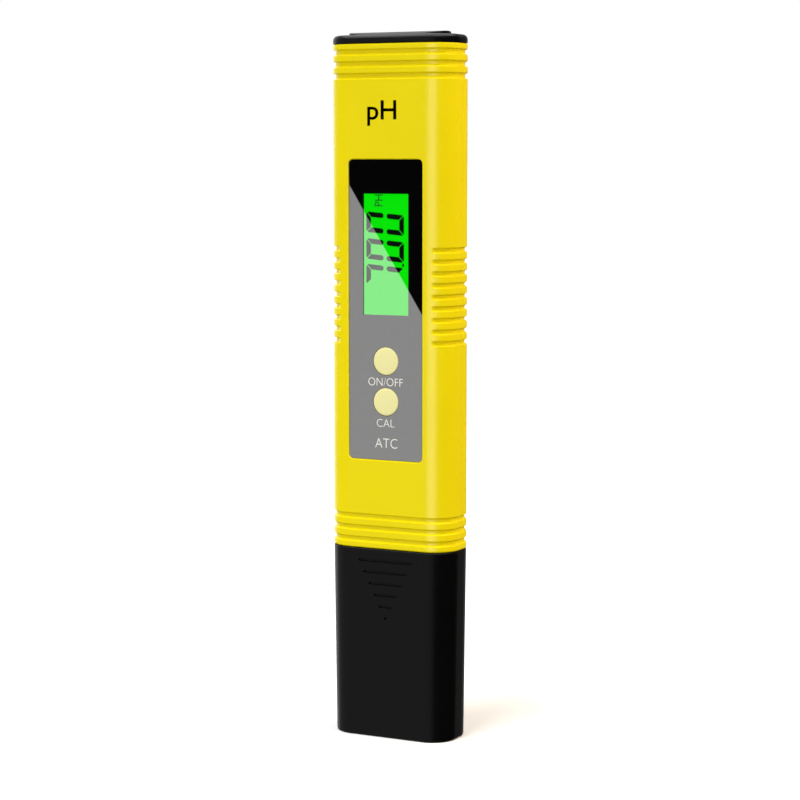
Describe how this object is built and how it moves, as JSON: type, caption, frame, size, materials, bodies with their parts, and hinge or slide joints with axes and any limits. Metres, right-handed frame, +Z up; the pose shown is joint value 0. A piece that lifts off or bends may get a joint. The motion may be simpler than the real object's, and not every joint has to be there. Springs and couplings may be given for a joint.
{
  "type": "digital ph meter",
  "caption": "Pocket pH meter, a flat yellow pen with a grey and black display panel, round buttons, black battery drawer and black cap over its electrode.",
  "frame": {"origin": "under the middle of the cap's flat foot, on the surface the meter stands on", "axes": "+Z up the pen from the cap to the battery drawer, -Y out of the display panel, +X to the right as the panel is seen"},
  "size_m": [0.0366, 0.0174, 0.1878],
  "materials": {
    "yellow_plastic": "satin moulded ABS",
    "black_plastic": "fine moulded, slightly glossy",
    "panel_print": "glossy printed sheet, black above and grey below a diagonal",
    "clear_window": "clear polished acrylic",
    "lcd": "lit green display with dark digits",
    "white_plastic": "moulded",
    "diffuser": "frosted acrylic",
    "button_plastic": "smooth pale yellow silicone",
    "black_rubber": "matt",
    "board": "green solder mask with traces",
    "chip": "moulded epoxy",
    "steel": "bright steel",
    "contact_metal": "phosphor bronze strip",
    "silver": "drawn silver wire, chloride grey",
    "electrode_glass": "blown thin glass",
    "clear_sleeve": "clear polycarbonate",
    "resin": "cast potting resin",
    "ceramic": "porous ceramic",
    "white_insulation": "wire insulation",
    "black_insulation": "wire insulation",
    "red_insulation": "wire insulation",
    "sponge": "wet open cell foam"
  },
  "bodies": {
    "pen": {"front_shell": "yellow_plastic", "rear_shell": "yellow_plastic", "top_bezel": "black_plastic", "display_panel": "panel_print", "window_lens": "clear_window", "button_gasket": "black_rubber", "lcd_glass": "lcd", "lcd_frame": "white_plastic", "light_guide": "diffuser", "zebra_strip": "black_rubber", "backlight_led_1": "white_plastic", "backlight_led_2": "white_plastic", "circuit_board": "board", "board_screw_1": "steel", "board_screw_2": "steel", "board_screw_3": "steel", "board_screw_4": "steel", "controller_chip": "chip", "amplifier_chip": "chip", "clock_crystal": "steel", "power_switch_body": "steel", "calibrate_switch_body": "steel", "battery_well": "black_plastic", "contact_left": "contact_metal", "contact_right": "contact_metal", "electrode_holder": "black_plastic", "holder_seal": "black_rubber", "electrode_sleeve": "clear_sleeve", "electrode_plug": "resin", "glass_electrode": "electrode_glass", "temperature_probe": "steel", "reference_junction": "ceramic", "inner_electrode": "silver", "reference_electrode": "silver", "electrode_lead": "white_insulation", "reference_lead": "black_insulation", "thermistor_lead": "red_insulation"},
    "cap": {"storage_cap": "black_plastic", "cap_sponge": "sponge"},
    "drawer": {"battery_drawer": "black_plastic", "battery_seal": "black_rubber", "cell_1": "steel", "cell_2": "steel", "cell_3": "steel", "cell_4": "steel"},
    "power_key": {"power_button": "button_plastic", "power_switch_plunger": "black_plastic"},
    "calibrate_key": {"calibrate_button": "button_plastic", "calibrate_switch_plunger": "black_plastic"}
  },
  "joints": [
    {"name": "cap_pull", "type": "slide", "parent": "pen", "child": "cap", "axis": [0, 0, -1], "range_m": [0, 0.055]},
    {"name": "drawer_pull", "type": "slide", "parent": "pen", "child": "drawer", "axis": [0, 0, 1], "range_m": [0, 0.022]},
    {"name": "power_press", "type": "slide", "parent": "pen", "child": "power_key", "axis": [0, 1, 0], "range_m": [0, 0.0004], "stiffness_N_per_m": 800, "springref_m": -0.0003},
    {"name": "calibrate_press", "type": "slide", "parent": "pen", "child": "calibrate_key", "axis": [0, 1, 0], "range_m": [0, 0.0004], "stiffness_N_per_m": 800, "springref_m": -0.0003}
  ]
}
